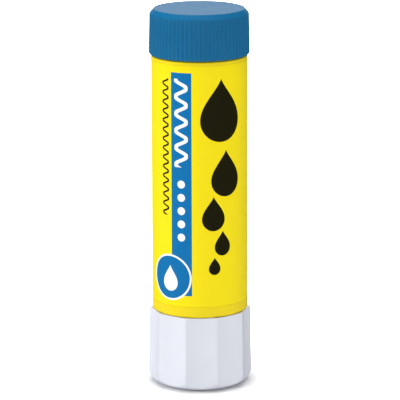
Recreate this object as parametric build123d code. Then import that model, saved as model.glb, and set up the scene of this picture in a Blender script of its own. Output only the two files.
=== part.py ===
"""Glue stick of the 40 g size, standing upside down on its screw cap, twist knob uppermost.

Millimetres, Z up. The origin is the middle of the cap's closed end, on the surface it stands on.
The glue therefore leaves the barrel downwards, towards the cap, and the knob is on top.
"""

import os
from math import cos, radians

from build123d import *

# The whole stick
stick_height = 119.3
running_clearance = 0.1
overrun = 1.0

# Screw cap: a cup with dished grip facets, thicker over its closed end
cap_height = 24.0
cap_end_overhang = 1.4
cap_rim_overhang = 1.0
cap_edge_round = 5.4
cap_edge_swell = 0.45
cap_facet_count = 10
cap_first_corner_degrees = 1.6
cap_facet_dish = 0.3
cap_corner_round = 0.7
cap_rim_round = 0.35
cap_end_wall = 2.0
cap_hollow_round = 0.6
cap_thread_clearance = 0.15
cap_lead_in = 0.3

# Barrel: a plain tube with a thin screw neck below and a closed, stepped head above
tube_radius = 15.0
tube_wall = 1.7
tube_seat_gap = 0.1
tube_foot_round = 0.8
tube_head_round = 0.3
neck_height = 11.4
neck_inset = 1.5
neck_wall = 0.9
neck_thread_height = 0.4
neck_lip_round = 0.3
neck_root = 1.5
head_web = 1.8
spigot_height = 8.0
spigot_wall = 1.4
spigot_round = 0.4

# Keys inside the barrel, which stop the carrier from turning
key_count = 4
key_height = 0.6
key_width = 1.6
key_clearance = 0.15

# Label, wrapped once round the barrel in a shallow recess, with its seam behind
label_thickness = 0.12
label_film = 0.03
label_foot_margin = 3.5
label_head_margin = 1.1
label_end_gap = 0.05
label_seam_gap = 0.5

# Sealing insert: a soft sleeve that stands on the cap's floor, under the lip of the neck
seal_wall = 1.1
seal_squeeze_gap = 0.1
seal_side_gap = 0.1
seal_lip_round = 0.3
seal_foot_round = 0.7

# Twist knob: a drafted cup with fine flutes, a smooth chamfer and a flat top
knob_height = 14.15
knob_rim_overhang = 0.7
knob_crown_overhang = 0.42
knob_face_inset = 0.85
knob_chamfer_height = 1.5
knob_rim_gap = 0.35
knob_rim_bevel = 0.45
knob_face_round = 0.2
knob_plate = 1.8
knob_spigot_end_gap = 0.6
knob_inner_step = 1.2
flute_count = 70
flute_width = 0.95
flute_depth = 0.3
boss_wall = 2.2
gusset_count = 6
gusset_thickness = 1.0
gusset_end_gap = 0.3
gusset_foot_gap = 1.2

# Lead screw: a coarse two-start spindle, trapped on the web of the barrel
screw_crest_radius = 3.4
screw_root_radius = 2.5
screw_lead = 12.0
screw_tip_height = 24.2
journal_radius = 2.6
thrust_collar_radius = 5.2
thrust_collar_thickness = 1.5
head_length = 8.0
head_end_gap = 0.3
hexagon_sides = 6

# Glue and the cup that carries it
glue_mouth_clearance = 0.5
glue_mouth_inset = 0.6
glue_edge_round = 0.8
glue_bore_clearance = 0.3
glue_bore_end_gap = 1.2
glue_seat_clearance = 0.1
carrier_collar_gap = 0.2
carrier_hub_height = 5.0
carrier_hub_wall = 2.1
carrier_floor = 1.6
carrier_cup_depth = 6.0
carrier_edge_round = 0.4

# Radii that follow
tube_bore_radius = tube_radius - tube_wall
neck_radius = tube_radius - neck_inset
neck_bore_radius = neck_radius - neck_wall
glue_radius = neck_bore_radius - glue_mouth_clearance
cap_end_radius = tube_radius + cap_end_overhang
cap_rim_radius = tube_radius + cap_rim_overhang
cap_bore_radius = neck_radius + neck_thread_height + cap_thread_clearance
key_radius = tube_bore_radius - key_height
web_hole_radius = journal_radius + running_clearance
spigot_radius = tube_bore_radius + spigot_wall / 4
spigot_bore_radius = spigot_radius - spigot_wall
skirt_bore_radius = spigot_radius + running_clearance
knob_rim_radius = tube_radius + knob_rim_overhang
knob_crown_radius = tube_radius + knob_crown_overhang
knob_face_radius = tube_radius - knob_face_inset
boss_radius = journal_radius + boss_wall
carrier_radius = tube_bore_radius - running_clearance
carrier_cup_radius = glue_radius + glue_seat_clearance
nut_radius = screw_crest_radius + running_clearance
glue_bore_radius = screw_crest_radius + glue_bore_clearance

# Heights that follow, from the closed end of the cap up to the flat of the knob
tube_foot = cap_height + tube_seat_gap
lip = tube_foot - neck_height
seal_top = lip - seal_squeeze_gap
knob_rim = stick_height - knob_height
tube_head = knob_rim - knob_rim_gap
web_foot = tube_head - head_web
spigot_top = tube_head + spigot_height
label_foot = tube_foot + label_foot_margin
label_head = tube_head - label_head_margin
knob_ceiling = stick_height - knob_plate
knob_crown = stick_height - knob_chamfer_height
collar_top = web_foot - running_clearance
collar_foot = collar_top - thrust_collar_thickness
boss_foot = tube_head + running_clearance
head_top = boss_foot + head_length
hub_top = collar_foot - carrier_collar_gap
carrier_floor_top = hub_top - carrier_hub_height
glue_top = carrier_floor_top - carrier_floor
glue_face = lip + glue_mouth_inset
glue_bore_foot = screw_tip_height - glue_bore_end_gap


def turned(*corners):
    """Turn a closed outline of (radius, height, rounding) corners about the stick's axis."""
    outline = Face(Wire.make_polygon([(radius, 0, height) for radius, height, _ in corners]))
    for radius, height, rounding in corners:
        if rounding:
            corner = outline.vertices().sort_by_distance((radius, 0, height))[0]
            outline = outline.fillet_2d(rounding, [corner])
    return revolve(outline, Axis.Z)


def disc(radius, foot, top):
    """A plain round solid on the stick's axis, between two heights."""
    return Pos(0, 0, foot) * Cylinder(radius, top - foot, align=(Align.CENTER, Align.CENTER, Align.MIN))


def bar(inner, outer, width, foot, top):
    """A radial bar along X, from an inner to an outer radius, between two heights."""
    low_end = (Align.MIN, Align.CENTER, Align.MIN)
    return Pos(inner, 0, foot) * Box(outer - inner, width, top - foot, align=low_end)


def around(shape, count):
    """The same shape turned to evenly spaced places about the stick's axis."""
    return [Rot(0, 0, turn * 360 / count) * shape for turn in range(count)]


def facet_section(corner_radius, height):
    """The cap's outline at one height: shallow dished arcs that meet in rounded corners."""
    step = 360 / cap_facet_count
    dish_radius = corner_radius * cos(radians(step / 2)) - cap_facet_dish
    first = cap_first_corner_degrees
    arcs = []
    for facet in range(cap_facet_count):
        turn = first + facet * step
        start = Vector(corner_radius, 0).rotate(Axis.Z, turn)
        middle = Vector(dish_radius, 0).rotate(Axis.Z, turn + step / 2)
        end = Vector(corner_radius, 0).rotate(Axis.Z, turn + step)
        arcs.append(ThreePointArc(start, middle, end))
    outline = Face(Wire(arcs))
    rounded = outline.fillet_2d(cap_corner_round, outline.vertices())
    return Pos(0, 0, height) * rounded


def make_screw_cap():
    """Faceted cup: the facets run down into one large rounding at the closed end.

    The rounding belongs to a turned form a little wider than the facets' corners, so the facets
    reach well into it before they end.
    """
    facets = loft([facet_section(cap_end_radius, 0), facet_section(cap_rim_radius, cap_height)], ruled=True)
    envelope_radius = cap_end_radius + cap_edge_swell
    envelope = turned(
        (0, 0, 0),
        (envelope_radius, 0, cap_edge_round),
        (envelope_radius, cap_height, 0),
        (0, cap_height, 0),
    )
    body = facets & envelope
    rim_edges = body.faces().sort_by(Axis.Z)[-1].edges()
    body = fillet(rim_edges, cap_rim_round)
    hollow = turned(
        (0, cap_end_wall, 0),
        (cap_bore_radius, cap_end_wall, cap_hollow_round),
        (cap_bore_radius, cap_height - cap_lead_in, 0),
        (cap_bore_radius + cap_lead_in, cap_height, 0),
        (cap_bore_radius + cap_lead_in, cap_height + overrun, 0),
        (0, cap_height + overrun, 0),
    )
    return body - hollow


def make_cap_seal():
    """Soft sleeve that stands on the cap's floor and meets the lip of the neck."""
    outer = cap_bore_radius - seal_side_gap
    inner = outer - seal_wall
    return turned(
        (inner, cap_end_wall, 0),
        (outer, cap_end_wall, seal_foot_round),
        (outer, seal_top, seal_lip_round),
        (inner, seal_top, seal_lip_round),
    )


def make_barrel():
    """Tube with a screw neck, a recess for the label, a web and the spigot that guides the knob."""
    recess_radius = tube_radius - label_thickness - label_film
    recess_foot = label_foot - label_end_gap
    recess_head = label_head + label_end_gap
    step_foot = tube_foot + neck_root
    step_head = step_foot + tube_bore_radius - neck_bore_radius
    tube = turned(
        (neck_bore_radius, lip, 0),
        (neck_radius, lip, neck_lip_round),
        (neck_radius, tube_foot, 0),
        (tube_radius, tube_foot, tube_foot_round),
        (tube_radius, recess_foot, 0),
        (recess_radius, recess_foot, 0),
        (recess_radius, recess_head, 0),
        (tube_radius, recess_head, 0),
        (tube_radius, tube_head, tube_head_round),
        (spigot_radius, tube_head, 0),
        (spigot_radius, spigot_top, spigot_round),
        (spigot_bore_radius, spigot_top, 0),
        (spigot_bore_radius, tube_head, 0),
        (web_hole_radius, tube_head, 0),
        (web_hole_radius, web_foot, 0),
        (tube_bore_radius, web_foot, 0),
        (tube_bore_radius, step_head, 0),
        (neck_bore_radius, step_foot, 0),
    )
    wall_bite = tube_wall / 2
    key = bar(key_radius, tube_bore_radius + wall_bite, key_width, step_head - key_height, web_foot + wall_bite)
    return tube + around(key, key_count)


def make_label():
    """Printed film, one turn round the barrel, with the gap of its seam behind."""
    inner = tube_radius - label_thickness
    sleeve = disc(tube_radius, label_foot, label_head) - disc(inner, label_foot, label_head)
    seam = bar(inner - overrun, tube_radius + overrun, label_seam_gap, label_foot - overrun, label_head + overrun)
    return sleeve - Rot(0, 0, 90) * seam


def make_flute():
    """Cutter for one flute: a wedge that follows the drafted side of the knob past both ends."""
    foot = Vector(knob_rim_radius, 0, knob_rim)
    crown = Vector(knob_crown_radius, 0, knob_crown)
    slope = (crown - foot).normalized()
    section = Plane(foot - slope * overrun, x_dir=(slope.Z, 0, -slope.X), z_dir=slope)
    mouth = flute_width / 2 * (flute_depth + overrun) / flute_depth
    wedge = Face(Wire.make_polygon([(-flute_depth, 0), (overrun, -mouth), (overrun, mouth)]))
    return section * extrude(wedge, (crown - foot).length + 2 * overrun)


def make_twist_knob():
    """Fluted cup with a flat chamfered top, a boss for the lead screw and gussets between them."""
    skirt_top = spigot_top + knob_spigot_end_gap
    narrow_radius = skirt_bore_radius - knob_inner_step
    cup = turned(
        (skirt_bore_radius, knob_rim, 0),
        (knob_rim_radius - knob_rim_bevel, knob_rim, 0),
        (knob_rim_radius, knob_rim + knob_rim_bevel, 0),
        (knob_crown_radius, knob_crown, 0),
        (knob_face_radius, stick_height, knob_face_round),
        (0, stick_height, 0),
        (0, knob_ceiling, 0),
        (narrow_radius, knob_ceiling, 0),
        (narrow_radius, skirt_top, 0),
        (skirt_bore_radius, skirt_top, 0),
    )
    cup -= around(make_flute(), flute_count)
    boss = disc(boss_radius, boss_foot, knob_ceiling)
    gusset_outer = spigot_bore_radius - gusset_end_gap
    gusset_foot = tube_head + gusset_foot_gap
    gusset = bar(journal_radius, gusset_outer, gusset_thickness, gusset_foot, knob_ceiling)
    socket = head_prism(boss_foot, head_top + head_end_gap)
    return cup + boss + around(gusset, gusset_count) - socket


def head_prism(foot, top):
    """Hexagon that keys the lead screw's head in the knob's boss."""
    hexagon = Pos(0, 0, foot) * RegularPolygon(journal_radius, hexagon_sides)
    return extrude(hexagon, top - foot)


def make_lead_screw():
    """Coarse left-hand spindle: an oval section twisted evenly, which is a two-start thread."""
    oval = Face(Wire(Edge.make_ellipse(screw_crest_radius, screw_root_radius)))
    start = Vector(0, 0, screw_tip_height)
    run = Vector(0, 0, collar_foot - screw_tip_height)
    twist = -360 * run.length / screw_lead
    thread = Solid.extrude_linear_with_rotation(Pos(start) * oval, start, run, twist)
    collar = disc(thrust_collar_radius, collar_foot, collar_top)
    journal = disc(journal_radius, collar_top, boss_foot)
    return thread + collar + journal + head_prism(boss_foot, head_top)


def make_glue_carrier():
    """Cup that holds the end of the glue, with its nut and the notches that ride on the keys."""
    cup_foot = glue_top - carrier_cup_depth
    cup = turned(
        (nut_radius, glue_top, 0),
        (carrier_cup_radius, glue_top, 0),
        (carrier_cup_radius, cup_foot, 0),
        (carrier_radius, cup_foot, carrier_edge_round),
        (carrier_radius, carrier_floor_top, carrier_edge_round),
        (nut_radius + carrier_hub_wall, carrier_floor_top, 0),
        (nut_radius + carrier_hub_wall, hub_top, 0),
        (nut_radius, hub_top, 0),
    )
    notch_width = key_width + 2 * key_clearance
    notch = bar(key_radius - key_clearance, carrier_radius + overrun, notch_width, cup_foot, carrier_floor_top)
    return cup - around(notch, key_count)


def make_glue_core():
    """The cylinder of glue, bored for the lead screw and standing in the carrier."""
    return turned(
        (0, glue_face, 0),
        (glue_radius, glue_face, glue_edge_round),
        (glue_radius, glue_top, 0),
        (glue_bore_radius, glue_top, 0),
        (glue_bore_radius, glue_bore_foot, 0),
        (0, glue_bore_foot, 0),
    )


pieces = {
    "screw_cap": make_screw_cap,
    "cap_seal": make_cap_seal,
    "barrel": make_barrel,
    "label_wrap": make_label,
    "twist_knob": make_twist_knob,
    "lead_screw": make_lead_screw,
    "glue_carrier": make_glue_carrier,
    "glue_core": make_glue_core,
}

os.makedirs("parts", exist_ok=True)
for node, make in pieces.items():
    export_step(make(), f"parts/{node}.step")
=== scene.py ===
"""Glue stick standing on its screw cap: the finish of every surface, the label's print and the threads.

Everything is in metres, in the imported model's own frame: Z up, the print on the -Y side.
"""

from math import atan2, ceil, cos, pi, radians, sin, tan, tau

import bmesh
import bpy
from bpy.props import FloatProperty, FloatVectorProperty, IntProperty, PointerProperty
from mathutils import Matrix, Vector


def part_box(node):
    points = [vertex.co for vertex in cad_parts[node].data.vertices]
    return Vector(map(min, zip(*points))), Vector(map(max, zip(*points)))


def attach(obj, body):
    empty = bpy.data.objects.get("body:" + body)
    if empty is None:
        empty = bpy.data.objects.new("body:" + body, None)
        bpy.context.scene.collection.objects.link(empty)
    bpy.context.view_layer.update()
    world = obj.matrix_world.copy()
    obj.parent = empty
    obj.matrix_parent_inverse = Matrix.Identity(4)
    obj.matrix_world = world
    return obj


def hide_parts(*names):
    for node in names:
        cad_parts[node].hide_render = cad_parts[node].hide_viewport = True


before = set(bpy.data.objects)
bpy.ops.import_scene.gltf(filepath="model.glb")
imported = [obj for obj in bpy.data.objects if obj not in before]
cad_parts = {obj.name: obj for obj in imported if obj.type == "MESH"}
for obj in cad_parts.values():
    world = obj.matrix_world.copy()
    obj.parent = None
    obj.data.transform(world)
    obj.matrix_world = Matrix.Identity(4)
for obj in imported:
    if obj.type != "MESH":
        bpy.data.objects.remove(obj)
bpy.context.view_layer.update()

bl_info = {
    "name": "Glue stick",
    "version": (1, 0, 0),
    "blender": (4, 5, 0),
    "location": "View3D > Sidebar > Glue stick",
    "description": "Builds a twist-up glue stick around its packed construction",
    "category": "Add Mesh",
}

MM = 0.001

# Below this, a length in metres or a turn in radians counts as none
TINY = 1e-9

# Segments round the tube and its label, and round the smaller plain pieces inside
TUBE_SEGMENTS = 256
INNER_SEGMENTS = 192

# The label's black drops: middle round the barrel, height of the bulb's middle and radius, in millimetres
DROPS = ((6.9, 86.6, 6.7), (8.6, 67.6, 5.0), (4.4, 55.6, 3.7), (7.4, 46.6, 2.7), (4.7, 39.8, 1.9))

# The lamps: name, place in metres, width in metres and power in watts
LAMPS = (
    ("key", (-1.1, -0.1, 0.3), 0.6, 6.6),
    ("fill", (0.42, -1.02, 0.3), 0.7, 3.5),
    ("top", (0, 0, 1.0), 0.8, 6.4),
)


def half_width(node):
    """Half of a node's size along X, in metres."""
    low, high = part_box(node)
    return (high[0] - low[0]) / 2


def foot(node):
    """The height of a node's lowest point."""
    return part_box(node)[0][2]


def head(node):
    """The height of a node's highest point."""
    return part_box(node)[1][2]


def paint(red, green, blue):
    """A colour as it looks on a screen, 0 to 255, made linear for a shader."""
    linear = []
    for level in (red, green, blue):
        share = level / 255
        linear.append(share / 12.92 if share <= 0.04045 else ((share + 0.055) / 1.055) ** 2.4)
    return tuple(linear)


def length(name, description, default):
    """A size that a user can change, in metres."""
    return FloatProperty(name=name, description=description, default=default, unit="LENGTH", precision=5)


def colour(name, description, red, green, blue):
    """A colour that a user can change."""
    return FloatVectorProperty(
        name=name,
        description=description,
        default=paint(red, green, blue),
        subtype="COLOR",
        min=0,
        max=1,
    )


class GlueStickBarrel(bpy.types.PropertyGroup):
    """The yellow tube with its neck and its head."""

    radius: length("Radius", "Outside of the tube", half_width("barrel"))
    wall: length("Wall", "Wall of the tube", 1.7 * MM)
    neck_height: length("Neck height", "From the lip up to the shoulder", 11.4 * MM)
    neck_wall: length("Neck wall", "Wall of the screw neck", 0.9 * MM)
    neck_bore: length("Neck bore", "Radius of the mouth", 12.6 * MM)
    shoulder_round: length("Shoulder rounding", "Rounding of the lower shoulder", 0.8 * MM)
    head_round: length("Head rounding", "Rounding of the upper edge", 0.3 * MM)
    recess: length("Recess", "Depth of the recess under the label", 0.15 * MM)
    web: length("Web", "Thickness of the closing web", 1.8 * MM)
    web_hole: length("Web hole", "Radius of the hole for the lead screw", 2.7 * MM)
    step: length("Step", "From the shoulder up to the step inside the tube", 1.5 * MM)
    spigot_height: length("Spigot height", "Height of the ring inside the knob", 8.0 * MM)
    spigot_radius: length("Spigot radius", "Outside of the ring inside the knob", 13.65 * MM)
    spigot_wall: length("Spigot wall", "Wall of the ring inside the knob", 1.4 * MM)
    key_height: length("Key height", "Height of the keys inside the tube", 0.6 * MM)
    key_width: length("Key width", "Width of the keys inside the tube", 1.6 * MM)
    keys: IntProperty(name="Keys", description="Number of keys inside the tube", default=4, min=1)
    tint: colour("Colour", "Colour of the plastic", 247, 222, 4)


class GlueStickLabel(bpy.types.PropertyGroup):
    """The printed film round the tube."""

    thickness: length("Thickness", "Thickness of the film", 0.12 * MM)
    seam: length("Seam", "Gap between the two ends of the film", 0.5 * MM)
    ground: colour("Ground", "Colour of the ground", 252, 230, 0)
    blue: colour("Blue", "Colour of the stripe and the badge", 0, 114, 178)
    black: colour("Black", "Colour of the dark print", 32, 30, 6)
    white: colour("White", "Colour of the light print", 252, 252, 252)


class GlueStickKnob(bpy.types.PropertyGroup):
    """The blue twist knob."""

    rim_radius: length("Rim radius", "Outside of the knob at its rim", half_width("twist_knob"))
    crown_radius: length("Crown radius", "Outside of the knob under its chamfer", 15.42 * MM)
    face_radius: length("Face radius", "Radius of the flat face", 14.15 * MM)
    height: length("Height", "From the rim to the face", 14.15 * MM)
    chamfer: length("Chamfer", "Height of the chamfer", 1.5 * MM)
    plate: length("Plate", "Thickness of the top", 1.8 * MM)
    skirt_bore: length("Skirt bore", "Radius of the cavity", 13.75 * MM)
    skirt_step: length("Skirt step", "How much narrower the cavity is above the tube's ring", 1.2 * MM)
    boss_radius: length("Boss radius", "Outside of the boss", 4.8 * MM)
    socket: length("Socket", "Radius of the hole for the lead screw", 2.6 * MM)
    gussets: IntProperty(name="Gussets", description="Number of gussets inside", default=6, min=1)
    gusset_width: length("Gusset width", "Thickness of a gusset", 1.0 * MM)
    gusset_reach: length("Gusset reach", "Radius at which a gusset ends", 11.95 * MM)
    flutes: IntProperty(name="Flutes", description="Number of flutes", default=70, min=3)
    flute_depth: length("Flute depth", "Depth of a flute", 0.3 * MM)
    flute_fade: length("Flute fade", "Height over which a flute runs out at each end", 0.6 * MM)
    tint: colour("Colour", "Colour of the plastic", 0, 106, 155)


class GlueStickCap(bpy.types.PropertyGroup):
    """The white screw cap with its sealing insert."""

    end_radius: length("End radius", "Radius over the facets' corners at the closed end", 16.4 * MM)
    rim_radius: length("Rim radius", "Radius over the facets' corners at the rim", 16.0 * MM)
    edge_round: length("Edge rounding", "Rounding of the closed end", 5.4 * MM)
    edge_swell: length("Edge swell", "How far the rounding's own form stands out of the facets", 0.45 * MM)
    rim_round: length("Rim rounding", "Rounding of the rim", 0.3 * MM)
    bore: length("Bore", "Radius of the threaded bore", 14.05 * MM)
    seal_wall: length("Seal wall", "Wall of the sealing insert", 1.1 * MM)
    end_wall: length("End wall", "Thickness of the closed end", 2.0 * MM)
    facets: IntProperty(name="Facets", description="Number of grip facets", default=10, min=3)
    first_corner: FloatProperty(
        name="First corner",
        description="Turn of the first corner between facets",
        default=radians(1.6),
        subtype="ANGLE",
    )
    dish: length("Dish", "Depth of the facets' dishing", 0.45 * MM)
    softness: length("Softness", "How far the corners between facets are blunted", 0.16 * MM)
    lead_in: length("Lead-in", "Chamfer at the mouth of the bore", 0.3 * MM)
    tint: colour("Colour", "Colour of the plastic", 226, 229, 239)


class GlueStickThread(bpy.types.PropertyGroup):
    """The thread shared by the neck and the cap."""

    lead: length("Lead", "Travel in one turn", 8.0 * MM)
    starts: IntProperty(name="Starts", description="Number of starts", default=2, min=1)
    height: length("Height", "Height of the ridges", 0.4 * MM)
    width: length("Width", "Width of a ridge at its root", 1.3 * MM)
    turns: FloatProperty(name="Turns", description="Turns of each ridge", default=0.8, min=0.1)
    start: length("Start", "From the neck's lip up to the start of its ridges", 2.2 * MM)


class GlueStickGlue(bpy.types.PropertyGroup):
    """The glue itself."""

    edge_round: length("Edge rounding", "Rounding of the glue's end", 0.8 * MM)
    bore: length("Bore", "Radius of the hole for the lead screw", 3.7 * MM)
    bore_foot: length("Bore foot", "Height at which the hole ends", 23.0 * MM)
    tint: colour("Colour", "Colour of the glue", 238, 236, 222)


class GlueStickStage(bpy.types.PropertyGroup):
    """The camera, the floor and the lights."""

    distance: length("Distance", "From the stick's axis to the camera, level", 830.0 * MM)
    height: length("Height", "Height of the camera", 254.7 * MM)
    pitch: FloatProperty(name="Pitch", description="Tilt below level", default=0.2322, subtype="ANGLE")
    yaw: FloatProperty(name="Yaw", description="Turn to the right", default=0.00012, subtype="ANGLE")
    roll: FloatProperty(name="Roll", description="Roll of the camera", default=-0.003, subtype="ANGLE")
    lens: FloatProperty(name="Lens", description="Focal length in millimetres", default=245.0)
    sensor: FloatProperty(name="Sensor", description="Sensor's width in millimetres", default=36.0)
    # Painted shade on the floor round the stick's foot: out to the shadow reach the camera sees the floor
    # at its darkest colour, and beyond it the colour lightens to plain white over the white ground
    # distance
    shadow_reach: length("Shadow reach", "Radius at which the ground starts to lighten", 15.0 * MM)
    white_from: length("White ground", "Distance over which the ground turns plain white", 18.0 * MM)


class Signal:
    """An output socket of a node tree, on which Python's operators add Math nodes."""

    def __init__(self, maker, socket):
        self.maker = maker
        self.socket = socket

    def math(self, operation, *others):
        return self.maker.math(operation, self, *others)

    def __add__(self, other):
        return self.math("ADD", other)

    __radd__ = __add__

    def __sub__(self, other):
        return self.math("SUBTRACT", other)

    def __rsub__(self, other):
        return self.maker.math("SUBTRACT", other, self)

    def __mul__(self, other):
        return self.math("MULTIPLY", other)

    __rmul__ = __mul__

    def __truediv__(self, other):
        return self.math("DIVIDE", other)

    def __rtruediv__(self, other):
        return self.maker.math("DIVIDE", other, self)

    def __mod__(self, other):
        return self.math("FLOORED_MODULO", other)

    def __pow__(self, other):
        return self.math("POWER", other)

    def __abs__(self):
        return self.math("ABSOLUTE")

    def above(self, other):
        return self.math("GREATER_THAN", other)

    def clip(self):
        """The value kept between 0 and 1."""
        return self.maker.add("ShaderNodeClamp", {}, {0: self})

    def outputs(self, *names):
        """The signals of this node's outputs of the given names or numbers."""
        return [Signal(self.maker, self.socket.node.outputs[name]) for name in names]


class Maker:
    """Adds nodes to one tree, each from its type, its settings and the values of its sockets."""

    def __init__(self, tree):
        self.tree = tree
        tree.nodes.clear()

    def add(self, kind, settings=None, sockets=None, output=0):
        """A node; a socket takes a signal, a list of signals where it joins many, or a plain value."""
        node = self.tree.nodes.new(kind)
        for name, value in (settings or {}).items():
            setattr(node, name, value)
        for key, value in (sockets or {}).items():
            signals = value if isinstance(value, list) else [value]
            if isinstance(signals[0], Signal):
                for signal in reversed(signals):
                    self.tree.links.new(signal.socket, node.inputs[key])
            else:
                node.inputs[key].default_value = value
        if not node.outputs:
            return None
        return Signal(self, node.outputs[output])

    def math(self, operation, *values):
        return self.add("ShaderNodeMath", {"operation": operation}, dict(enumerate(values)))

    def split(self, vector):
        """The three parts of a vector."""
        return self.add("ShaderNodeSeparateXYZ", {}, {0: vector}).outputs(0, 1, 2)


def rounded(corners, span=None):
    """An outline's points, from (radius, height, rounding) corners: each rounding is a true arc.

    Straight stretches longer than span, where it is given, are divided evenly.
    """
    arc_step = radians(11.25)
    points = []
    for place, (x, z, rounding) in enumerate(corners):
        here = Vector((x, z))
        before = Vector(corners[place - 1][:2]) - here
        after = Vector(corners[(place + 1) % len(corners)][:2]) - here
        if not rounding:
            points.append(here)
            continue
        opening = before.angle(after)
        reach = rounding / tan(opening / 2)
        bisector = (before.normalized() + after.normalized()).normalized()
        centre = here + bisector * (rounding / sin(opening / 2))
        first = here + before.normalized() * reach - centre
        last = here + after.normalized() * reach - centre
        start = atan2(first.y, first.x)
        sweep = (atan2(last.y, last.x) - start + pi) % tau - pi
        steps = max(2, ceil(abs(sweep) / arc_step))
        for step in range(steps + 1):
            turn = start + sweep * step / steps
            points.append(centre + rounding * Vector((cos(turn), sin(turn))))
    if not span:
        return points
    divided = []
    for place, here in enumerate(points):
        there = points[(place + 1) % len(points)]
        parts = max(1, ceil((there - here).length / span))
        for part in range(parts):
            divided.append(here.lerp(there, part / parts))
    return divided


def turned(name, outline, segments, start=0.0, sweep=tau):
    """A closed solid turned about the Z axis from a closed outline of (radius, height) points."""
    whole = abs(sweep - tau) < TINY
    rings = segments if whole else segments + 1
    shape = bmesh.new()
    columns = []
    for point in outline:
        if point.x < TINY:
            pole = shape.verts.new((0, 0, point.y))
            columns.append([pole] * rings)
            continue
        column = []
        for ring in range(rings):
            turn = start + sweep * ring / segments
            column.append(shape.verts.new((point.x * cos(turn), point.x * sin(turn), point.y)))
        columns.append(column)
    for place, column in enumerate(columns):
        beside = columns[(place + 1) % len(columns)]
        for ring in range(segments):
            after = (ring + 1) % rings
            corners = []
            for vertex in (column[ring], beside[ring], beside[after], column[after]):
                if vertex not in corners:
                    corners.append(vertex)
            if len(corners) > 2:
                shape.faces.new(corners)
    if not whole:
        shape.faces.new([column[0] for column in columns])
        shape.faces.new([column[-1] for column in reversed(columns)])
    bmesh.ops.recalc_face_normals(shape, faces=shape.faces)
    mesh = bpy.data.meshes.new(name)
    shape.to_mesh(mesh)
    shape.free()
    piece = bpy.data.objects.new(name, mesh)
    bpy.context.scene.collection.objects.link(piece)
    return piece


def smooth(piece, angle=radians(35)):
    """Smooth shading, with edges sharper than the angle kept crisp."""
    piece.data.shade_smooth()
    piece.data.set_sharp_from_angle(angle=angle)


def new_tree(name, sockets):
    """A Geometry Nodes tree with a mesh in and out and named inputs, as a maker and its inputs."""
    tree = bpy.data.node_groups.new(name, "GeometryNodeTree")
    maker = Maker(tree)
    tree.interface.new_socket("Geometry", in_out="INPUT", socket_type="NodeSocketGeometry")
    tree.interface.new_socket("Geometry", in_out="OUTPUT", socket_type="NodeSocketGeometry")
    for label, kind in sockets:
        tree.interface.new_socket(label, in_out="INPUT", socket_type=f"NodeSocket{kind}")
    tree.interface.new_socket("Material", in_out="INPUT", socket_type="NodeSocketMaterial")
    group = maker.add("NodeGroupInput").socket.node
    return maker, {socket.name: Signal(maker, socket) for socket in group.outputs if socket.name}


def end_tree(maker, inputs, geometry):
    """Ends a tree in Realize Instances and Set Material."""
    real = maker.add("GeometryNodeRealizeInstances", {}, {"Geometry": geometry})
    sockets = {"Geometry": real, "Material": inputs["Material"]}
    finished = maker.add("GeometryNodeSetMaterial", {}, sockets)
    maker.add("NodeGroupOutput", {}, {0: finished})
    return maker.tree


def apply_tree(piece, tree, values):
    """Runs a tree on a piece and turns what it makes into the piece's plain mesh."""
    modifier = piece.modifiers.new(tree.name, "NODES")
    modifier.node_group = tree
    for item in tree.interface.items_tree:
        if item.item_type == "SOCKET" and item.in_out == "INPUT" and item.name in values:
            modifier[item.identifier] = values[item.name]
    graph = bpy.context.evaluated_depsgraph_get()
    result = bpy.data.meshes.new_from_object(piece.evaluated_get(graph))
    piece.modifiers.remove(modifier)
    old = piece.data
    piece.data = result
    result.name = piece.name
    bpy.data.meshes.remove(old)


def place_of(maker):
    """Each point's X, Y and Z, its distance from the axis and its turn about it."""
    x, y, z = maker.split(maker.add("GeometryNodeInputPosition"))
    radius = (x * x + y * y).math("SQRT")
    return x, y, z, radius, y.math("ARCTAN2", x)


def move_out(maker, geometry, factor, x, y, z):
    """Moves each point towards or away from the axis by a factor on its radius."""
    moved = maker.add("ShaderNodeCombineXYZ", {}, {0: x * factor, 1: y * factor, 2: z})
    return maker.add("GeometryNodeSetPosition", {}, {"Geometry": geometry, "Position": moved})


def repeat_around(maker, geometry, count):
    """Copies of a shape at even turns about the Z axis."""
    points = maker.add("GeometryNodeMeshLine", {}, {"Count": count, "Offset": (0, 0, 0)})
    turn = maker.add("GeometryNodeInputIndex") * tau / count
    rotation = maker.add("ShaderNodeCombineXYZ", {}, {2: turn})
    sockets = {"Points": points, "Instance": geometry, "Rotation": rotation}
    return maker.add("GeometryNodeInstanceOnPoints", {}, sockets)


def bars_around(maker, count, inner, outer, width, low, high):
    """Radial bars at even turns, between two radii and two heights."""
    size = maker.add("ShaderNodeCombineXYZ", {}, {0: outer - inner, 1: width, 2: high - low})
    cube = maker.add("GeometryNodeMeshCube", {}, {"Size": size})
    shift = maker.add("ShaderNodeCombineXYZ", {}, {0: (outer + inner) / 2, 2: (high + low) / 2})
    bar = maker.add("GeometryNodeTransform", {}, {"Geometry": cube, "Translation": shift})
    return repeat_around(maker, bar, count)


def join(maker, *geometries):
    """Several geometries as one."""
    return maker.add("GeometryNodeJoinGeometry", {}, {0: list(geometries)})


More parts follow.
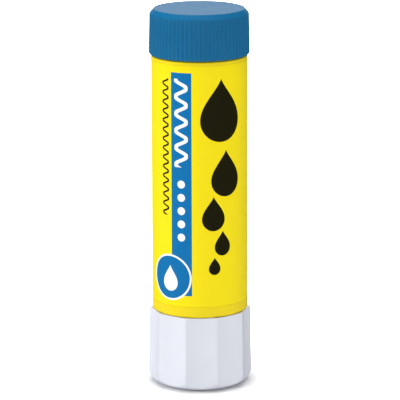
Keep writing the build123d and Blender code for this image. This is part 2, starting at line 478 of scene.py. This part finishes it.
def thread_ridges(maker, inputs, sign):
    """The ridges of a right-hand thread: outwards from a neck with sign 1, inwards in a bore with -1."""
    steps_per_turn = 96
    fade_rate = 12
    crest_share = 0.45
    rise = inputs["Thread lead"] * inputs["Thread turns"]
    root = inputs["Thread root"]
    spiral = maker.add(
        "GeometryNodeCurveSpiral",
        {},
        {
            "Resolution": steps_per_turn,
            "Rotations": inputs["Thread turns"],
            "Start Radius": root,
            "End Radius": root,
            "Height": rise,
            "Reverse": True,
        },
    )
    upright = maker.add("GeometryNodeSetCurveNormal", {"mode": "Z_UP"}, {"Curve": spiral})
    along = maker.add("GeometryNodeSplineParameter")
    ends = (along.math("MINIMUM", 1 - along) * fade_rate).clip()
    sized = maker.add("GeometryNodeSetCurveRadius", {}, {"Curve": upright, "Radius": ends})
    section = maker.add(
        "GeometryNodeCurvePrimitiveQuadrilateral",
        {"mode": "TRAPEZOID"},
        {
            "Height": inputs["Thread height"] * 2,
            "Bottom Width": inputs["Thread width"] * (1 + crest_share),
            "Top Width": inputs["Thread width"] * crest_share,
            "Offset": 0.0,
        },
    )
    sockets = {"Geometry": section, "Rotation": (0, 0, -sign * pi / 2)}
    turned_section = maker.add("GeometryNodeTransform", {}, sockets)
    sockets = {"Curve": sized, "Profile Curve": turned_section, "Fill Caps": True}
    ridge = maker.add("GeometryNodeCurveToMesh", {}, sockets)
    shift = maker.add("ShaderNodeCombineXYZ", {}, {2: inputs["Thread foot"]})
    placed = maker.add("GeometryNodeTransform", {}, {"Geometry": ridge, "Translation": shift})
    return repeat_around(maker, placed, inputs["Thread starts"])


THREAD_SOCKETS = (
    ("Thread starts", "Int"),
    ("Thread lead", "Float"),
    ("Thread turns", "Float"),
    ("Thread root", "Float"),
    ("Thread height", "Float"),
    ("Thread width", "Float"),
    ("Thread foot", "Float"),
)


def thread_values(thread, root, start):
    """The values of a thread's sockets, for ridges that stand on the radius root from the height start."""
    return {
        "Thread starts": thread.starts,
        "Thread lead": thread.lead,
        "Thread turns": thread.turns,
        "Thread root": root,
        "Thread height": thread.height,
        "Thread width": thread.width,
        "Thread foot": start,
    }


def barrel_tree():
    """Adds the neck's thread and the keys inside the tube."""
    key_sockets = (
        ("Keys", "Int"),
        ("Key inner", "Float"),
        ("Key outer", "Float"),
        ("Key width", "Float"),
        ("Key foot", "Float"),
        ("Key head", "Float"),
    )
    maker, inputs = new_tree("Neck thread and keys", THREAD_SOCKETS + key_sockets)
    ridges = thread_ridges(maker, inputs, 1)
    sizes = [inputs[label] for label, _ in key_sockets]
    keys = bars_around(maker, *sizes)
    return end_tree(maker, inputs, join(maker, inputs["Geometry"], ridges, keys))


def flute_tree():
    """Cuts even rounded flutes into the knob's side and adds the gussets inside."""
    sockets = (
        ("Flutes", "Int"),
        ("Flute depth", "Float"),
        ("Flute foot", "Float"),
        ("Flute head", "Float"),
        ("Flute fade", "Float"),
        ("Side radius", "Float"),
        ("Gussets", "Int"),
        ("Gusset inner", "Float"),
        ("Gusset outer", "Float"),
        ("Gusset width", "Float"),
        ("Gusset foot", "Float"),
        ("Gusset head", "Float"),
    )
    maker, inputs = new_tree("Flutes and gussets", sockets)
    land_form = 1.6
    x, y, z, radius, turn = place_of(maker)
    wave = 0.5 - 0.5 * (turn * inputs["Flutes"]).math("COSINE")
    groove = 1 - wave ** land_form
    rise = ((z - inputs["Flute foot"]) / inputs["Flute fade"]).clip()
    fall = ((inputs["Flute head"] - z) / inputs["Flute fade"]).clip()
    depth = inputs["Flute depth"] * groove * rise * fall * radius.above(inputs["Side radius"])
    fluted = move_out(maker, inputs["Geometry"], 1 - depth / radius, x, y, z)
    gussets = bars_around(maker, *[inputs[label] for label, _ in sockets[6:]])
    return end_tree(maker, inputs, join(maker, fluted, gussets))


def facet_tree():
    """Presses the grip facets into the turned cap and adds the thread in its bore."""
    sockets = (
        ("Facets", "Int"),
        ("First corner", "Float"),
        ("End radius", "Float"),
        ("Rim radius", "Float"),
        ("Height", "Float"),
        ("Dish", "Float"),
        ("Turned radius", "Float"),
        ("Inner radius", "Float"),
        ("Softness", "Float"),
    )
    maker, inputs = new_tree("Grip facets and thread", sockets + THREAD_SOCKETS)
    corner_cut = 0.2
    x, y, z, radius, turn = place_of(maker)
    step = tau / inputs["Facets"]
    local = (turn - inputs["First corner"]) % step - step / 2
    up = z / inputs["Height"]
    corner = inputs["End radius"] + (inputs["Rim radius"] - inputs["End radius"]) * up
    across = local / (step / 2)
    flat = corner * (step / 2).math("COSINE") - inputs["Dish"] * (1 - across * across)
    facet = flat / local.math("COSINE")
    blunt = facet.math("SMOOTH_MIN", corner - inputs["Softness"] * corner_cut, inputs["Softness"])
    low_radius = radius.math("SMOOTH_MIN", blunt, inputs["Softness"])
    inner = inputs["Inner radius"]
    wall = (blunt - inner) / (inputs["Turned radius"] - inner)
    high_radius = radius.math("MINIMUM", inner) + (radius - inner).math("MAXIMUM", 0.0) * wall
    upper = up.above(0.5)
    shaped = low_radius * (1 - upper) + high_radius * upper
    factor = shaped / radius.math("MAXIMUM", 0.001 * MM)
    faceted = move_out(maker, inputs["Geometry"], factor, x, y, z)
    ridges = thread_ridges(maker, inputs, -1)
    return end_tree(maker, inputs, join(maker, faceted, ridges))


def new_material(name):
    """An empty node material and its maker."""
    material = bpy.data.materials.new(name)
    material.use_nodes = True
    return material, Maker(material.node_tree)


def shade(maker, colour_value, roughness, bump, settings):
    """Ends a material in a Principled shader with the given colour, roughness and bump height."""
    normal = maker.add("ShaderNodeBump", {}, {"Strength": 1.0, "Distance": 1.0, "Height": bump})
    sockets = {"Base Color": colour_value, "Roughness": roughness, "Normal": normal}
    surface = maker.add("ShaderNodeBsdfPrincipled", {}, {**sockets, **settings})
    maker.add("ShaderNodeOutputMaterial", {}, {"Surface": surface})


def mix(maker, factor, first, second):
    """A colour between two, by a factor."""
    first, second = (tone if isinstance(tone, Signal) else (*tone, 1) for tone in (first, second))
    return maker.add("ShaderNodeMix", {"data_type": "RGBA"}, {0: factor, 6: first, 7: second}, output=2)


def noise(maker, where, size, detail=2.0):
    """Soft noise from 0 to 1 with features of about the given size in metres."""
    sockets = {"Vector": where, "Scale": 1 / size, "Detail": detail}
    return maker.add("ShaderNodeTexNoise", {}, sockets)


def object_place(maker):
    """The place of each point of a surface in its object's own axes, in metres."""
    object_output = 3
    return maker.add("ShaderNodeTexCoord", {}, {}, object_output)


def moulded(name, tint, roughness, grain=0.004 * MM, settings=None):
    """Moulded plastic: a trace of cloudiness in the colour, a fine grain in the gloss and the surface."""
    cloud_size = 9 * MM
    grain_size = 0.35 * MM
    material, maker = new_material(name)
    where = object_place(maker)
    cloud = noise(maker, where, cloud_size)
    fine = noise(maker, where, grain_size, 3.0)
    darker = tuple(level * 0.95 for level in tint)
    lighter = tuple(min(1.0, level * 1.02 + 0.003) for level in tint)
    base = mix(maker, cloud, darker, lighter)
    uneven = roughness + 0.06 * fine + 0.04 * cloud
    shade(maker, base, uneven, fine * grain, {"Specular IOR Level": 0.35, **(settings or {})})
    return material


def disc_mask(across, along, radius, edge):
    """1 inside a disc about the point where both distances are zero, with a soft edge."""
    distance = (across * across + along * along).math("SQRT")
    return ((radius - distance) / edge + 0.5).clip()


def span_mask(value, low, high, edge):
    """1 between two values, with soft edges."""
    return ((value - low) / edge + 0.5).clip() * ((high - value) / edge + 0.5).clip()


def repeated(value, first, pitch):
    """Distance to the nearest of evenly spaced places, of which first is one."""
    return (value - first + pitch / 2) % pitch - pitch / 2


def drop_mask(across, up, radius, tail, edge):
    """1 inside a drop: a round bulb whose sides run up smoothly into a point at the height of the tail."""
    taper = 1.3
    bulb = disc_mask(across, up, radius, edge)
    share = (up / tail).clip()
    width = (share * (pi / 2)).math("COSINE") ** taper * radius
    sides = ((width - abs(across)) / edge + 0.5).clip() * span_mask(up, 0.0, tail, edge)
    return bulb.math("MAXIMUM", sides)


def winding_mask(across, z, swing, period, thickness, edge):
    """1 on a winding line of even thickness that swings to both sides of a column."""
    turn = z * (tau / period)
    slope = turn.math("COSINE") * (swing * tau / period)
    distance = abs(across - turn.math("SINE") * swing) / (slope * slope + 1.0).math("SQRT")
    return ((thickness / 2 - distance) / edge + 0.5).clip()


def label_print(maker, where, radius, inks):
    """The label's colour: a stripe with a winding line, falling drops and a round badge."""
    edge = 0.07 * MM
    x, y, z = maker.split(where)
    around = x.math("ARCTAN2", 0.0 - y) * radius

    stripe_left = -9.25 * MM
    stripe_right = -2.45 * MM
    stripe_foot = 31.2 * MM
    stripe_head = 101.5 * MM
    stripe = span_mask(around, stripe_left, stripe_right, edge)
    stripe = stripe * span_mask(z, stripe_foot, stripe_head, edge)

    from_stripe = around - (stripe_left + stripe_right) / 2
    line_foot = 72.0 * MM
    line_head = 99.6 * MM
    line = winding_mask(from_stripe, z, swing=1.65 * MM, period=5.3 * MM, thickness=1.15 * MM, edge=edge)
    line = line * span_mask(z, line_foot, line_head, edge)

    dots_foot = 48.0 * MM
    dots_head = 68.4 * MM
    top_dot = 66.6 * MM
    dot_pitch = 4.2 * MM
    dot_radius = 1.25 * MM
    dots = disc_mask(from_stripe, repeated(z, top_dot, dot_pitch), dot_radius, edge)
    dots = dots * span_mask(z, dots_foot, dots_head, edge)
    light_marks = line.math("MAXIMUM", dots) * stripe

    tail_share = 1.95
    drops = None
    for middle, height, size in DROPS:
        bulb = size * MM
        drop = drop_mask(around - middle * MM, z - height * MM, bulb, bulb * tail_share, edge)
        drops = drop if drops is None else drops.math("MAXIMUM", drop)

    thin_place = -11.5 * MM
    thin_foot = 56.4 * MM
    thin_head = 99.4 * MM
    from_thin = around - thin_place
    thin_line = winding_mask(from_thin, z, swing=1.0 * MM, period=2.9 * MM, thickness=0.62 * MM, edge=edge)
    thin_line = thin_line * span_mask(z, thin_foot, thin_head, edge)

    badge_place = -9.9 * MM
    badge_height = 36.7 * MM
    border_radius = 7.35 * MM
    field_radius = 6.75 * MM
    badge_across = around - badge_place
    badge_up = z - badge_height
    border = disc_mask(badge_across, badge_up, border_radius, edge)
    field = disc_mask(badge_across, badge_up, field_radius, edge)
    drop_lower = 1.7 * MM
    badge_drop = drop_mask(badge_across, badge_up + drop_lower, radius=2.7 * MM, tail=5.6 * MM, edge=edge)

    ground, blue, dark, light = inks
    result = mix(maker, stripe, ground, blue)
    result = mix(maker, light_marks, result, light)
    result = mix(maker, drops.math("MAXIMUM", thin_line), result, dark)
    result = mix(maker, border, result, light)
    result = mix(maker, field, result, blue)
    return mix(maker, badge_drop, result, light)


def printed_film(name, sizes, radius):
    """The label's film: glossy, printed, with a trace of unevenness where it lies on the tube."""
    wave_size = 14 * MM
    wave_height = 0.02 * MM
    grain_size = 0.5 * MM
    grain_height = 0.001 * MM
    material, maker = new_material(name)
    where = object_place(maker)
    inks = [tuple(ink) for ink in (sizes.ground, sizes.blue, sizes.black, sizes.white)]
    base = label_print(maker, where, radius, inks)
    waves = noise(maker, where, wave_size)
    fine = noise(maker, where, grain_size, 3.0)
    roughness = 0.3 + 0.05 * waves + 0.04 * fine
    bump = waves * wave_height + fine * grain_height
    shade(maker, base, roughness, bump, {"Specular IOR Level": 0.25})
    return material


class GLUESTICK_OT_barrel(bpy.types.Operator):
    """Build the tube with its screw neck, its head and the keys inside"""

    bl_idname = "glue_stick.barrel"
    bl_label = "Build barrel"

    def execute(self, context):
        sizes = context.scene.glue_stick_barrel
        thread = context.scene.glue_stick_thread
        label = context.scene.glue_stick_label
        lip = foot("barrel")
        shoulder = lip + sizes.neck_height
        neck = sizes.neck_bore + sizes.neck_wall
        bore = sizes.radius - sizes.wall
        step_foot = shoulder + sizes.step
        step_head = step_foot + bore - sizes.neck_bore
        end_gap = 0.05 * MM
        film_foot = foot("label_wrap") - end_gap
        film_head = head("label_wrap") + end_gap
        under_film = sizes.radius - sizes.recess
        spigot_head = head("barrel")
        tube_head = spigot_head - sizes.spigot_height
        spigot_bore = sizes.spigot_radius - sizes.spigot_wall
        lip_inner_round = 0.2 * MM
        lip_outer_round = 0.3 * MM
        spigot_round = 0.4 * MM
        corners = [
            (sizes.neck_bore, lip, lip_inner_round),
            (neck, lip, lip_outer_round),
            (neck, shoulder, 0),
            (sizes.radius, shoulder, sizes.shoulder_round),
            (sizes.radius, film_foot, 0),
            (under_film, film_foot, 0),
            (under_film, film_head, 0),
            (sizes.radius, film_head, 0),
            (sizes.radius, tube_head, sizes.head_round),
            (sizes.spigot_radius, tube_head, 0),
            (sizes.spigot_radius, spigot_head, spigot_round),
            (spigot_bore, spigot_head, 0),
            (spigot_bore, tube_head, 0),
            (sizes.web_hole, tube_head, 0),
            (sizes.web_hole, tube_head - sizes.web, 0),
            (bore, tube_head - sizes.web, 0),
            (bore, step_head, 0),
            (sizes.neck_bore, step_foot, 0),
        ]
        piece = turned("barrel_tube", rounded(corners), TUBE_SEGMENTS)
        material = moulded("barrel_plastic", tuple(sizes.tint), roughness=0.4)
        values = {
            **thread_values(thread, neck, lip + thread.start),
            "Keys": sizes.keys,
            "Key inner": bore - sizes.key_height,
            "Key outer": bore + sizes.wall / 2,
            "Key width": sizes.key_width,
            "Key foot": step_head - sizes.key_height,
            "Key head": tube_head - sizes.web / 2,
            "Material": material,
        }
        apply_tree(piece, barrel_tree(), values)
        smooth(piece)
        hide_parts("barrel")
        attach(piece, "barrel")
        return {"FINISHED"}


class GLUESTICK_OT_label(bpy.types.Operator):
    """Build the printed film round the tube"""

    bl_idname = "glue_stick.label"
    bl_label = "Build label"

    def execute(self, context):
        sizes = context.scene.glue_stick_label
        radius = context.scene.glue_stick_barrel.radius
        low = foot("label_wrap")
        high = head("label_wrap")
        inner = radius - sizes.thickness
        edge = sizes.thickness / 3
        corners = [(inner, low, 0), (radius, low, edge), (radius, high, edge), (inner, high, 0)]
        gap = sizes.seam / radius
        back = pi / 2
        piece = turned("label_film", rounded(corners), TUBE_SEGMENTS, back + gap / 2, tau - gap)
        piece.data.materials.append(printed_film("label_print", sizes, radius))
        smooth(piece)
        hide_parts("label_wrap")
        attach(piece, "barrel")
        return {"FINISHED"}


class GLUESTICK_OT_knob(bpy.types.Operator):
    """Build the fluted twist knob"""

    bl_idname = "glue_stick.knob"
    bl_label = "Build knob"

    def execute(self, context):
        sizes = context.scene.glue_stick_knob
        face = head("twist_knob")
        rim = face - sizes.height
        crown = face - sizes.chamfer
        ceiling = face - sizes.plate
        low_boss = foot("twist_knob")
        skirt_head = head("barrel") + 0.6 * MM
        narrow = sizes.skirt_bore - sizes.skirt_step
        socket_head = head("lead_screw") + 0.3 * MM
        rim_round = 0.6 * MM
        crown_round = 0.7 * MM
        face_round = 0.25 * MM
        longest_edge = 1.2 * MM
        steps_per_flute = 10
        corners = [
            (sizes.skirt_bore, rim, 0),
            (sizes.rim_radius, rim, rim_round),
            (sizes.crown_radius, crown, crown_round),
            (sizes.face_radius, face, face_round),
            (0, face, 0),
            (0, socket_head, 0),
            (sizes.socket, socket_head, 0),
            (sizes.socket, low_boss, 0),
            (sizes.boss_radius, low_boss, 0),
            (sizes.boss_radius, ceiling, 0),
            (narrow, ceiling, 0),
            (narrow, skirt_head, 0),
            (sizes.skirt_bore, skirt_head, 0),
        ]
        piece = turned("knob_body", rounded(corners, longest_edge), sizes.flutes * steps_per_flute)
        values = {
            "Flutes": sizes.flutes,
            "Flute depth": sizes.flute_depth,
            "Flute foot": rim,
            "Flute head": crown + 0.1 * MM,
            "Flute fade": sizes.flute_fade,
            "Side radius": (sizes.skirt_bore + sizes.crown_radius) / 2,
            "Gussets": sizes.gussets,
            "Gusset inner": sizes.socket,
            "Gusset outer": sizes.gusset_reach,
            "Gusset width": sizes.gusset_width,
            "Gusset foot": low_boss + 1.1 * MM,
            "Gusset head": ceiling + 0.5 * MM,
            "Material": moulded("knob_plastic", tuple(sizes.tint), roughness=0.42),
        }
        apply_tree(piece, flute_tree(), values)
        smooth(piece, radians(50))
        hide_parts("twist_knob")
        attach(piece, "knob")
        return {"FINISHED"}


class GLUESTICK_OT_cap(bpy.types.Operator):
    """Build the faceted screw cap and its sealing insert"""

    bl_idname = "glue_stick.cap"
    bl_label = "Build cap"

    def execute(self, context):
        sizes = context.scene.glue_stick_cap
        thread = context.scene.glue_stick_thread
        rim = head("screw_cap")
        turned_radius = sizes.end_radius + sizes.edge_swell
        mouth = sizes.bore + sizes.lead_in
        hollow_round = 0.6 * MM
        half_pitch = thread.lead / thread.starts / 2
        longest_edge = 0.9 * MM
        steps_per_facet = 60
        corners = [
            (0, 0, 0),
            (turned_radius, 0, sizes.edge_round),
            (turned_radius, rim, sizes.rim_round),
            (mouth, rim, 0),
            (sizes.bore, rim - sizes.lead_in, 0),
            (sizes.bore, sizes.end_wall, hollow_round),
            (0, sizes.end_wall, 0),
        ]
        segments = sizes.facets * steps_per_facet
        piece = turned("cap_body", rounded(corners, longest_edge), segments, sizes.first_corner)
        material = moulded("cap_plastic", tuple(sizes.tint), roughness=0.36)
        values = {
            "Facets": sizes.facets,
            "First corner": sizes.first_corner,
            "End radius": sizes.end_radius,
            "Rim radius": sizes.rim_radius,
            "Height": rim,
            "Dish": sizes.dish,
            "Turned radius": turned_radius,
            "Inner radius": mouth,
            "Softness": sizes.softness,
            **thread_values(thread, sizes.bore, foot("barrel") + thread.start + half_pitch),
            "Material": material,
        }
        apply_tree(piece, facet_tree(), values)
        smooth(piece)
        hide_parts("screw_cap")
        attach(piece, "cap")

        low = foot("cap_seal")
        high = head("cap_seal")
        outer = half_width("cap_seal")
        inner = outer - sizes.seal_wall
        foot_round = 0.7 * MM
        lip_round = 0.3 * MM
        sleeve = [
            (inner, low, 0),
            (outer, low, foot_round),
            (outer, high, lip_round),
            (inner, high, lip_round),
        ]
        foam = moulded("seal_foam", paint(228, 228, 222), roughness=0.6, grain=0.02 * MM)
        seal = turned("seal_sleeve", rounded(sleeve), INNER_SEGMENTS)
        seal.data.materials.append(foam)
        smooth(seal)
        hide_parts("cap_seal")
        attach(seal, "seal")
        return {"FINISHED"}


class GLUESTICK_OT_glue(bpy.types.Operator):
    """Build the glue, and finish the carrier and the lead screw"""

    bl_idname = "glue_stick.glue"
    bl_label = "Build glue and mechanism"

    def execute(self, context):
        sizes = context.scene.glue_stick_glue
        radius = half_width("glue_core")
        low = foot("glue_core")
        high = head("glue_core")
        corners = [
            (0, low, 0),
            (radius, low, sizes.edge_round),
            (radius, high, 0),
            (sizes.bore, high, 0),
            (sizes.bore, sizes.bore_foot, 0),
            (0, sizes.bore_foot, 0),
        ]
        longest_edge = 3 * MM
        piece = turned("glue_stock", rounded(corners, longest_edge), INNER_SEGMENTS)
        translucent = {
            "Subsurface Weight": 0.3,
            "Subsurface Radius": (1.0, 0.9, 0.7),
            "Subsurface Scale": 2 * MM,
        }
        paste = moulded("glue_paste", tuple(sizes.tint), 0.45, 0.03 * MM, translucent)
        piece.data.materials.append(paste)
        smooth(piece)
        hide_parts("glue_core")
        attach(piece, "glue")
        milk = paint(236, 236, 230)
        for node, slot in (("glue_carrier", "carrier_white"), ("lead_screw", "screw_white")):
            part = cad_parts[node]
            part.data.materials.clear()
            part.data.materials.append(moulded(slot + "_plastic", milk, roughness=0.4))
        return {"FINISHED"}


def camera_matrix(sizes):
    """The camera's place: level distance and height from the stick, tilted down and rolled."""
    level = Vector((sin(sizes.yaw), cos(sizes.yaw), 0))
    forward = level * cos(sizes.pitch) - Vector((0, 0, sin(sizes.pitch)))
    right = Vector((cos(sizes.yaw), -sin(sizes.yaw), 0))
    up = right.cross(forward)
    rolled_right = right * cos(sizes.roll) + up * sin(sizes.roll)
    rolled_up = up * cos(sizes.roll) - right * sin(sizes.roll)
    turn = Matrix((rolled_right, rolled_up, -forward)).transposed()
    return Matrix.Translation((0, -sizes.distance, sizes.height)) @ turn.to_4x4()


def area_light(name, place, target, size, power):
    """A soft square lamp aimed at a point, which shows in no reflection."""
    data = bpy.data.lights.new(name, "AREA")
    data.shape = "SQUARE"
    data.size = size
    data.energy = power
    lamp = bpy.data.objects.new(name, data)
    aim = Vector(target) - Vector(place)
    lamp.matrix_world = Matrix.Translation(place) @ aim.to_track_quat("-Z", "Y").to_matrix().to_4x4()
    lamp.visible_glossy = False
    bpy.context.scene.collection.objects.link(lamp)


class GLUESTICK_OT_stage(bpy.types.Operator):
    """Set up the floor, the lights and the camera"""

    bl_idname = "glue_stick.stage"
    bl_label = "Set the stage"

    def execute(self, context):
        scene = context.scene
        sizes = scene.glue_stick_stage
        scene.view_settings.view_transform = "Standard"

        data = bpy.data.cameras.new("camera")
        data.sensor_width = sizes.sensor
        data.lens = sizes.lens
        data.clip_start = 0.05
        data.clip_end = 20
        camera = bpy.data.objects.new("camera", data)
        camera.matrix_world = camera_matrix(sizes)
        scene.collection.objects.link(camera)
        scene.camera = camera

        floor_half = 3.0
        mesh = bpy.data.meshes.new("floor")
        corners = [(-floor_half, -floor_half, 0), (floor_half, -floor_half, 0)]
        corners += [(floor_half, floor_half, 0), (-floor_half, floor_half, 0)]
        mesh.from_pydata(corners, [], [(0, 1, 2, 3)])
        floor = bpy.data.objects.new("floor", mesh)
        scene.collection.objects.link(floor)
        material, maker = new_material("floor_paper")
        seen = maker.add("ShaderNodeLightPath")
        x, y, _ = maker.split(object_place(maker))
        # For camera rays the floor's colour is painted shade close to the stick. Out to the shadow reach
        # it is 0.85, darker than the 0.9 that other rays see, so the lamps' shadow round the foot shows
        # deeper. Beyond that it rises until the floor clips to plain white.
        paper_level = 0.9
        painted_shade_level = 0.85
        most_lightening = 4.0
        beyond = (x * x + y * y - sizes.shadow_reach ** 2) / sizes.white_from ** 2
        level = painted_shade_level + beyond.math("MAXIMUM", 0.0).math("MINIMUM", most_lightening)
        white = maker.add("ShaderNodeCombineXYZ", {}, {0: level, 1: level, 2: level})
        paper = mix(maker, seen, (paper_level, paper_level, paper_level), white)
        diffuse = maker.add("ShaderNodeBsdfDiffuse", {}, {"Color": paper})
        maker.add("ShaderNodeOutputMaterial", {}, {"Surface": diffuse})
        mesh.materials.append(material)
        floor.visible_glossy = False

        world = bpy.data.worlds.new("studio")
        scene.world = world
        world.use_nodes = True
        maker = Maker(world.node_tree)
        seen, mirrored = maker.add("ShaderNodeLightPath").outputs("Is Camera Ray", "Is Glossy Ray")
        ahead = maker.split(maker.add("ShaderNodeTexCoord"))[1]
        ambient = 0.4
        mirrored_dark = 0.04
        mirrored_backdrop = 2.3
        backdrop_from = 0.9
        backdrop_sharpness = 12
        backdrop = ((ahead - backdrop_from) * backdrop_sharpness).clip()
        studio = ambient + mirrored * (backdrop * mirrored_backdrop + (mirrored_dark - ambient))
        strength = studio + seen * (1.0 - studio)
        sky = maker.add("ShaderNodeBackground", {}, {"Color": (1, 1, 1, 1), "Strength": strength})
        maker.add("ShaderNodeOutputWorld", {}, {"Surface": sky})

        middle = (0, 0, 0.06)
        for name, place, size, power in LAMPS:
            area_light(name, place, middle, size, power)
        return {"FINISHED"}


class GLUESTICK_PT_panel(bpy.types.Panel):
    """Lists the sizes, the colours and the steps that build the stick"""

    bl_idname = "GLUESTICK_PT_panel"
    bl_label = "Glue stick"
    bl_space_type = "VIEW_3D"
    bl_region_type = "UI"
    bl_category = "Glue stick"

    def draw(self, context):
        for name, (group, operators) in STEPS.items():
            box = self.layout.box()
            settings = getattr(context.scene, f"glue_stick_{name}")
            for field in group.__annotations__:
                box.prop(settings, field)
            for operator in operators:
                box.operator(operator.bl_idname)


STEPS = {
    "barrel": (GlueStickBarrel, [GLUESTICK_OT_barrel]),
    "label": (GlueStickLabel, [GLUESTICK_OT_label]),
    "knob": (GlueStickKnob, [GLUESTICK_OT_knob]),
    "cap": (GlueStickCap, [GLUESTICK_OT_cap]),
    "thread": (GlueStickThread, []),
    "glue": (GlueStickGlue, [GLUESTICK_OT_glue]),
    "stage": (GlueStickStage, [GLUESTICK_OT_stage]),
}


def register():
    for name, (group, operators) in STEPS.items():
        bpy.utils.register_class(group)
        setattr(bpy.types.Scene, f"glue_stick_{name}", PointerProperty(type=group))
        for operator in operators:
            bpy.utils.register_class(operator)
    bpy.utils.register_class(GLUESTICK_PT_panel)


def unregister():
    bpy.utils.unregister_class(GLUESTICK_PT_panel)
    for name, (group, operators) in reversed(STEPS.items()):
        for operator in operators:
            bpy.utils.unregister_class(operator)
        delattr(bpy.types.Scene, f"glue_stick_{name}")
        bpy.utils.unregister_class(group)


def main():
    register()
    bpy.ops.glue_stick.barrel()
    bpy.ops.glue_stick.label()
    bpy.ops.glue_stick.knob()
    bpy.ops.glue_stick.cap()
    bpy.ops.glue_stick.glue()
    bpy.ops.glue_stick.stage()


if __name__ == "__main__":
    main()
